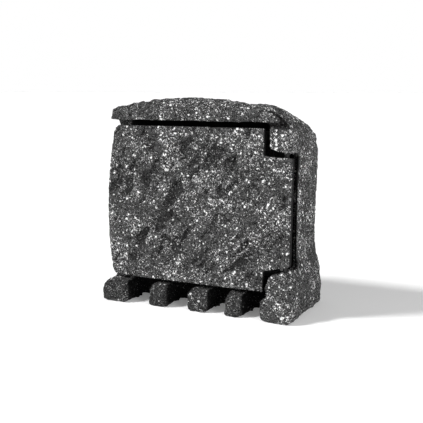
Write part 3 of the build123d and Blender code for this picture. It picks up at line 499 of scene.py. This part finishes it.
class RockMesh:
    """A CAD node as an even mesh whose points can be moved with numpy, in millimetres."""

    def __init__(self, node, name, voxel):
        self.node = node
        source = NODES[node].data.copy()
        tidy = bmesh.new()
        tidy.from_mesh(source)
        bmesh.ops.remove_doubles(tidy, verts=tidy.verts, dist=0.00001)
        tidy.to_mesh(source)
        tidy.free()
        carrier = bpy.data.objects.new(name + "_source", source)
        bpy.context.scene.collection.objects.link(carrier)
        remesh = carrier.modifiers.new("voxels", "REMESH")
        remesh.mode = "VOXEL"
        remesh.voxel_size = voxel * MM
        evaluated = carrier.evaluated_get(bpy.context.evaluated_depsgraph_get())
        self.mesh = bpy.data.meshes.new_from_object(evaluated)
        bpy.data.objects.remove(carrier)
        self.mesh.name = name
        self.object = bpy.data.objects.new(name, self.mesh)
        bpy.context.scene.collection.objects.link(self.object)
        edges = np.zeros(len(self.mesh.edges) * 2, np.int64)
        self.mesh.edges.foreach_get("vertices", edges)
        self.edges = edges.reshape(-1, 2)
        self.points = self.read()

    def read(self):
        flat = np.zeros(len(self.mesh.vertices) * 3)
        self.mesh.vertices.foreach_get("co", flat)
        return flat.reshape(-1, 3) / MM

    def write(self):
        self.mesh.vertices.foreach_set("co", (self.points * MM).ravel())
        self.mesh.update()

    def normals(self):
        self.write()
        flat = np.zeros(len(self.mesh.vertices) * 3)
        self.mesh.vertex_normals.foreach_get("vector", flat)
        return flat.reshape(-1, 3)

    def smooth(self, rounds, weight):
        """Relax the points towards their neighbours, by a weight for each point."""
        count = len(self.points)
        first, second = self.edges[:, 0], self.edges[:, 1]
        degree = np.bincount(first, minlength=count) + np.bincount(second, minlength=count)
        for _ in range(rounds):
            total = np.zeros_like(self.points)
            for axis in range(3):
                values = self.points[:, axis]
                total[:, axis] = np.bincount(first, values[second], count)
                total[:, axis] += np.bincount(second, values[first], count)
            mean = total / np.maximum(degree, 1)[:, None]
            self.points += (mean - self.points) * (0.5 * weight)[:, None]


# Hollows in the door: x and z of the middle, length, width and depth, lying along the slant of the split
DOOR_HOLLOWS = [
    (-32.0, 128.0, 20.0, 9.5, 3.6),
    (-72.0, 78.0, 16.0, 6.5, 3.2),
    (-47.0, 93.0, 14.0, 7.0, 3.0),
    (-52.0, 158.0, 15.0, 5.0, 2.6),
    (-24.0, 166.0, 13.0, 6.0, 2.6),
    (-6.0, 149.0, 12.0, 5.5, 2.4),
    (14.0, 171.0, 13.0, 6.0, 2.8),
    (38.0, 163.0, 10.0, 5.5, 2.8),
    (-84.0, 155.0, 9.0, 5.0, 2.6),
    (48.0, 57.0, 20.0, 7.0, 2.6),
    (-89.0, 123.0, 9.0, 4.5, 2.4),
    (-38.0, 103.0, 9.0, 5.0, 2.2),
    (-85.0, 49.0, 9.0, 5.5, 2.8),
    (55.0, 152.0, 9.0, 5.0, 2.0),
    (55.0, 75.0, 10.0, 5.0, 2.0),
    (-26.0, 73.0, 12.0, 5.0, 1.8),
    (-69.0, 146.0, 8.0, 4.5, 1.8),
    (10.0, 60.0, 12.0, 5.0, 1.6),
    (12.0, 118.0, 12.0, 5.0, 1.4),
    (28.0, 95.0, 11.0, 4.5, 1.3),
]
SLANT = math.radians(50.0)


def slanted(points):
    """Coordinates along and across the slant of the door's ridges."""
    along = points[:, 0] * math.cos(SLANT) + points[:, 2] * math.sin(SLANT)
    across = -points[:, 0] * math.sin(SLANT) + points[:, 2] * math.cos(SLANT)
    return along, across


def door_relief(points):
    """Depth of the split face of the door, mostly inwards: ridges on a slant, hollows and chips."""
    along, across = slanted(points)
    stretched = np.column_stack([along * 0.5, points[:, 1], across])
    chips = facets(stretched, 10.0, 21)
    sway = 3.0 * lumps(points, 14.0, 2, 31) + 1.6 * facets(points, 6.0, 50)
    relief = -1.3 + 1.2 * lumps(stretched, 20.0, 3, 4)
    relief += 2.6 * chips + 1.4 * facets(points, 5.2, 8)
    for x, z, length, width, depth in DOOR_HOLLOWS:
        middle_along, middle_across = (v[0] for v in slanted(np.array([[x, 0.0, z]])))
        over = across - middle_across + sway
        steep = np.where(over > 0, 0.6, 1.25)
        far = ((along - middle_along + sway) / length) ** 2 + (over / (width * steep)) ** 2
        relief -= depth * smoothstep(1.3, 0.35, far)
    return relief


def rim_distance(node, points, front_y):
    """Distance, seen from the front, from the outer side faces that meet a front plane."""
    mesh = NODES[node].data
    near = (front_y + 1.0) * MM
    runs = set()
    for polygon in mesh.polygons:
        corners = [mesh.vertices[v].co for v in polygon.vertices]
        if abs(polygon.normal.y) < 0.5 and min(c.y for c in corners) < near:
            flat = [(round(c.x / MM, 2), round(c.z / MM, 2)) for c in corners]
            runs.update(tuple(sorted(pair)) for pair in zip(flat, flat[1:] + flat[:1]) if pair[0] != pair[1])
    best = np.full(len(points), 1e9)
    seen = points[:, [0, 2]]
    for start, end in runs:
        start = np.array(start)
        run = np.array(end) - start
        share = np.clip((seen - start) @ run / (run @ run), 0.0, 1.0)
        best = np.minimum(best, ((seen - start - share[:, None] * run) ** 2).sum(1))
    return np.sqrt(best)


def clamp_to_box(points, node):
    low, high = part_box(node)
    return np.clip(points, np.array(low) / MM, np.array(high) / MM)


def finish_rock(rock, outside, painted_shade, flat_angle=1.5):
    """Write the points and the painted shade, give the outside granite and the inner faces the near-black
    resin, and thin out the flat inner faces.
    """
    rock.write()
    mesh = rock.mesh
    # Painted shade amounts, stored on the points for the granite material
    painted_shade_attribute = mesh.attributes.new("painted_shade", "FLOAT", "POINT")
    painted_shade_attribute.data.foreach_set("value", painted_shade.astype(np.float32))
    mesh.materials.clear()
    mesh.materials.append(MATERIALS["granite"])
    mesh.materials.append(RESIN_AND_PAINTED_SHADE)
    # Faces away from the outside get the near-black resin: the inside, and on the door the side faces deeper
    # than the granite reaches, as painted shade in the gaps
    inner = outside < 0.3
    work = bmesh.new()
    work.from_mesh(mesh)
    work.verts.ensure_lookup_table()
    for face in work.faces:
        face.smooth = True
        face.material_index = 1 if all(inner[v.index] for v in face.verts) else 0
    calm = outside < 0.02
    verts = [v for v in work.verts if calm[v.index] and all(calm[e.other_vert(v).index] for e in v.link_edges)]
    chosen = set(verts)
    edges = [e for e in work.edges if e.verts[0] in chosen and e.verts[1] in chosen]
    bmesh.ops.dissolve_limit(
        work, angle_limit=math.radians(flat_angle), verts=verts, edges=edges, delimit={"MATERIAL"}
    )
    bmesh.ops.triangulate(work, faces=[f for f in work.faces if len(f.verts) > 4])
    work.to_mesh(mesh)
    work.free()
    mesh.set_sharp_from_angle(angle=math.radians(50.0))
    obj = rock.object
    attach(obj, BODY_OF[rock.node])
    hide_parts(rock.node)
    return obj


DOOR_VOXEL = 0.9
DOOR_FREE_X = -80.0
HOUSING_VOXEL = 1.5


def add_door():
    """Granite door: split front, rough edges, plain back."""
    rock = RockMesh("door_shell", "granite_door", DOOR_VOXEL)
    front_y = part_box("door_shell")[0].y / MM
    rock.smooth(2, np.ones(len(rock.points)))
    normals = rock.normals()
    points = rock.points
    rim = rim_distance("door_shell", points, front_y)
    depth = points[:, 1] - front_y
    facing = smoothstep(0.2, 0.8, -normals[:, 1]) * smoothstep(2.0, 0.8, depth)
    # Granite reaches 7 mm onto the free left edge and 1.2 mm onto the other sides; deeper side faces get the
    # near-black resin as painted shade
    reach = np.where(points[:, 0] < DOOR_FREE_X, 7.0, 1.2)
    side = smoothstep(0.0, -1.0, depth - reach) * smoothstep(1.2, 0.6, rim) * (1.0 - facing)
    centre = smoothstep(1.0, 9.0, rim)
    relief = np.zeros(len(points))
    front = facing > 0
    relief[front] = np.clip(door_relief(points[front]), -4.3, 0.5)
    margin = -0.35 + 0.35 * lumps(points, 12.0, 3, 2) + 0.3 * facets(points, 5.0, 14)
    front_move = relief * centre + margin * (1.0 - centre)
    grain = 0.22 * lumps(points, 2.2, 2, 9)
    edge_move = -0.3 + 0.45 * lumps(points, 9.0, 3, 5) + 0.3 * facets(points, 4.0, 3)
    move = facing * (front_move + grain) + side * (edge_move + grain)
    rock.points = points + normals * move[:, None]
    rock.points = clamp_to_box(rock.points, "door_shell")
    # Painted shade darkens the door's hollows deeper than 1.6 mm
    finish_rock(rock, np.maximum(facing, side), smoothstep(-1.6, -3.6, relief))


# The shell's hollow in each view, drawn anticlockwise with a little to spare, and the other smooth spaces
ROOM_FROM_FRONT = [
    (-103.0, 24.0), (100.5, 24.0), (100.5, 156.0), (93.5, 182.0), (84.5, 196.0), (71.0, 207.0), (45.0, 215.0),
    (-20.0, 221.5), (-82.0, 213.0), (-94.0, 208.5), (-98.0, 198.0),
]
ROOM_FROM_SIDE = [
    (-23.5, 24.0), (50.2, 24.0), (50.2, 151.0), (47.2, 175.0), (38.0, 196.0), (24.5, 210.0), (-23.5, 223.5),
]
ROOM_FROM_ABOVE = [
    (-108.5, -23.5), (108.5, -23.5), (108.5, 21.5), (100.3, 42.0), (80.0, 50.2), (-80.0, 50.2), (-100.3, 42.0),
    (-108.5, 21.5),
]
UNDER_ROOM = ((-108.5, -19.5, -5.0), (108.5, 50.2, 24.5))
COVER_RECESS = ((-74.8, 45.0, 33.2), (74.8, 70.0, 150.8))
HINGE_ROOM = ((84.0, -60.0, 48.5), (99.0, -16.0, 177.0))
HINGE_SIDE = ((99.0, -60.0, 57.0), (112.0, -16.0, 172.0))
DOORWAY = ((-87.5, -32.0, 27.5), (85.5, -20.0, 207.0))
BROW_EDGE_Z = 206.0
BROW_TIP_X = -110.5
BROW_TIP_TOP = (-110.0, 220.0)
SHOULDER_BULGE = (101.0, 196.0)
BASE_HOLLOW = (116.0, 60.0)
CHANNEL_TOP_Z = 29.0
FOOT_SPANS = [(-140.0, -84.0), (-56.5, -33.5), (-6.5, 18.0), (38.0, 59.0), (80.5, 140.0)]


def outside_box(points, low, high):
    """Distance of each point from a box, 0 inside it."""
    gap = np.maximum(np.maximum(np.array(low) - points, points - np.array(high)), 0.0)
    return np.sqrt((gap ** 2).sum(1))


def rounded_zone(points, middle, radius):
    """Weight that falls from 1 at the middle to 0 at the radius, in the front view."""
    away = np.hypot(points[:, 0] - middle[0], points[:, 2] - middle[1])
    return smoothstep(radius, 0.0, away)


def channel_depth(points):
    """How far into the cable channels between the feet, from 0 at the feet's fronts to 1, the weight of the
    painted shade there.
    """
    aside = np.zeros(len(points))
    for left, right in FOOT_SPANS:
        aside = np.maximum(aside, np.minimum(points[:, 0] - left, right - points[:, 0]))
    inward = smoothstep(-57.0, -44.0, points[:, 1]) * smoothstep(-10.0, -20.0, points[:, 1])
    low = smoothstep(CHANNEL_TOP_Z + 3.0, CHANNEL_TOP_Z - 3.0, points[:, 2])
    return inward * low * smoothstep(4.0, 1.0, aside)


def add_housing():
    """Granite shell: rough outside, plain inside."""
    rock = RockMesh("housing_shell", "granite_housing", HOUSING_VOXEL)
    points = rock.points
    away = np.maximum(beyond(points, 0, 2, ROOM_FROM_FRONT), beyond(points, 1, 2, ROOM_FROM_SIDE))
    away = np.maximum(away, beyond(points, 0, 1, ROOM_FROM_ABOVE))
    for low, high in (UNDER_ROOM, COVER_RECESS, HINGE_ROOM, HINGE_SIDE, DOORWAY):
        away = np.minimum(away, outside_box(points, low, high))
    # Points inside these spaces keep their shape and get the near-black resin, partly the unpainted inside and
    # partly painted shade in the gaps
    outside = smoothstep(0.0, 2.0, away)
    front = smoothstep(-8.0, -20.0, points[:, 1])
    rock.smooth(2, outside)
    rock.smooth(6, outside * (1.0 - front))
    normals = rock.normals()
    points = rock.points
    large = lumps(points, 34.0, 2, 1)
    middle = lumps(points, 13.0, 3, 7)
    chips = facets(points, 9.0, 5)
    small_chips = facets(points, 4.6, 15)
    grain = lumps(points, 3.4, 2, 3)
    upper = smoothstep(195.0, 210.0, points[:, 2]) * smoothstep(20.0, -20.0, points[:, 1])
    lower = smoothstep(60.0, 35.0, points[:, 2])
    rough = 0.7 + 0.6 * upper + 0.2 * lower
    dents = upper * smoothstep(-30.0, -40.0, points[:, 1]) * facets(points, 17.0, 44)
    move = rough * (0.9 * large + 0.6 * middle + 1.1 * chips)
    move = move + 0.5 * small_chips + 0.2 * grain + 1.3 * dents - 0.3
    edge = np.abs(points[:, 2] - BROW_EDGE_Z) + 20.0 * (1.0 - front)
    move *= 0.25 + 0.75 * smoothstep(1.0, 5.0, edge)
    below_brow = 30.0 * smoothstep(200.0, 190.0, points[:, 2])
    move *= 0.3 + 0.7 * smoothstep(BROW_TIP_X, BROW_TIP_X + 10.0, points[:, 0] + below_brow)
    # Painted shade in the shell's dents
    painted_shade = smoothstep(-0.6, -2.0, move) * 0.6
    # Painted shade, near-black, in the cable channels under the door
    painted_shade = np.maximum(painted_shade, 2.0 * channel_depth(points))
    # Painted shade on the feet's fronts under the door, left of the hinge block
    foot_band = smoothstep(34.0, 26.0, points[:, 2])
    left_feet = smoothstep(92.0, 78.0, points[:, 0])
    painted_shade = np.maximum(painted_shade, 0.8 * front * foot_band * left_feet)
    # Painted shade in the crease under the brow's right end, above the set-back hinge block
    crease = smoothstep(82.0, 86.0, points[:, 0]) * smoothstep(195.0, 204.0, points[:, 2])
    crease *= smoothstep(-45.0, -43.0, points[:, 1]) * smoothstep(-30.0, -38.0, points[:, 1])
    painted_shade = np.maximum(painted_shade, 1.6 * crease)
    corner = 2.4 * rounded_zone(points, SHOULDER_BULGE, 24.0) - 2.2 * rounded_zone(points, BASE_HOLLOW, 42.0)
    corner -= 3.2 * rounded_zone(points, BROW_TIP_TOP, 14.0)
    rock.points = points + normals * (outside * (np.clip(move, -3.0, 1.6) + corner))[:, None]
    rock.points = clamp_to_box(rock.points, "housing_shell")
    finish_rock(rock, outside, painted_shade)


# ---------------------------------------------------------------- springs and carried-over pieces

SPRING_WIRE = 0.35
SPRING_COIL_R = 2.25
SPRING_TURNS = 8
STEPS_PER_TURN = 20


def add_lid_spring(number):
    """Torsion spring: a close helix round the lid pin."""
    node = f"lid_spring_{number}"
    low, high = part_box(node)
    middle = (low + high) / 2
    half = (high.x - low.x) / 2 - SPRING_WIRE * MM
    curve = bpy.data.curves.new(f"lid_spring_coil_{number}", "CURVE")
    curve.dimensions = "3D"
    curve.bevel_depth = SPRING_WIRE * MM
    curve.bevel_resolution = 3
    spline = curve.splines.new("POLY")
    count = SPRING_TURNS * STEPS_PER_TURN + 1
    spline.points.add(count - 1)
    for index in range(count):
        share = index / (count - 1)
        angle = share * SPRING_TURNS * math.tau
        radius = SPRING_COIL_R * MM
        place = (
            middle.x - half + 2 * half * share,
            middle.y + radius * math.cos(angle),
            middle.z + radius * math.sin(angle),
        )
        spline.points[index].co = (*place, 1.0)
    spring = bpy.data.objects.new(curve.name, curve)
    bpy.context.scene.collection.objects.link(spring)
    spring.data.materials.append(MATERIALS["stainless"])
    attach(spring, BODY_OF[node])
    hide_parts(node)


def add_bevelled(node, width, segments=2):
    """The CAD node with its edges rounded, as moulded and turned pieces are."""
    mesh = NODES[node].data.copy()
    mesh.name = node + "_body"
    tidy = bmesh.new()
    tidy.from_mesh(mesh)
    bmesh.ops.remove_doubles(tidy, verts=tidy.verts, dist=0.00001)
    bmesh.ops.dissolve_limit(tidy, angle_limit=math.radians(0.5), verts=tidy.verts, edges=tidy.edges)
    tidy.to_mesh(mesh)
    tidy.free()
    piece = bpy.data.objects.new(node + "_body", mesh)
    bpy.context.scene.collection.objects.link(piece)
    bevel = piece.modifiers.new("edges", "BEVEL")
    bevel.width = width * MM
    bevel.segments = segments
    bevel.limit_method = "ANGLE"
    bevel.angle_limit = math.radians(35.0)
    bevel.harden_normals = False
    mesh.materials.clear()
    mesh.materials.append(MATERIALS[SLOT_OF[node]])
    for polygon in mesh.polygons:
        polygon.use_smooth = True
    mesh.set_sharp_from_angle(angle=math.radians(35.0))
    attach(piece, BODY_OF[node])
    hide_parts(node)
    return piece


BEVELLED = {
    "socket_panel": 0.5, "rear_cover": 0.6, "terminal_block": 0.4, "door_keeper": 0.2, "catch_magnet": 0.3,
}
BEVELLED.update({f"socket_body_{n}": 0.35 for n in range(1, 5)})
BEVELLED.update({f"socket_lid_{n}": 0.6 for n in range(1, 5)})


def dress_cad_nodes():
    """Give every CAD node the material of its slot."""
    for node, obj in NODES.items():
        obj.data.materials.clear()
        obj.data.materials.append(MATERIALS[SLOT_OF[node]])
        for polygon in obj.data.polygons:
            polygon.material_index = 0


add_camera()
add_studio()
dress_cad_nodes()
add_door()
add_housing()
for lid_number in range(1, 5):
    add_lid_spring(lid_number)
for bevel_node, bevel_width in BEVELLED.items():
    add_bevelled(bevel_node, bevel_width)
